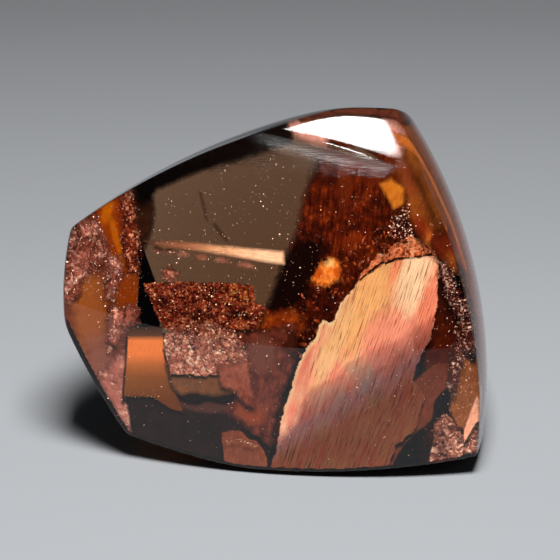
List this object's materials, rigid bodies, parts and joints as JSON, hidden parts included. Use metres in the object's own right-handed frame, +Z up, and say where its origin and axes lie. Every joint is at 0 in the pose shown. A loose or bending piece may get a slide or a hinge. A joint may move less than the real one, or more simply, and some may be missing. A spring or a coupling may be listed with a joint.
{
  "type": "sunstone",
  "caption": "Polished free-form stone of clear brown feldspar with gently domed faces, holding coppery reflective sheets and flakes; stands on a small flat.",
  "frame": {"origin": "middle of the flat that the stone rests on", "axes": "+Z up; the broad domed front looks towards -Y; +X towards the steep right-hand wall"},
  "size_m": [0.0239, 0.0139, 0.0195],
  "materials": {
    "feldspar": "clear orange-brown, polished, with coppery sheets and flakes inside"
  },
  "bodies": {
    "root": {"sunstone": "feldspar"}
  },
  "joints": []
}
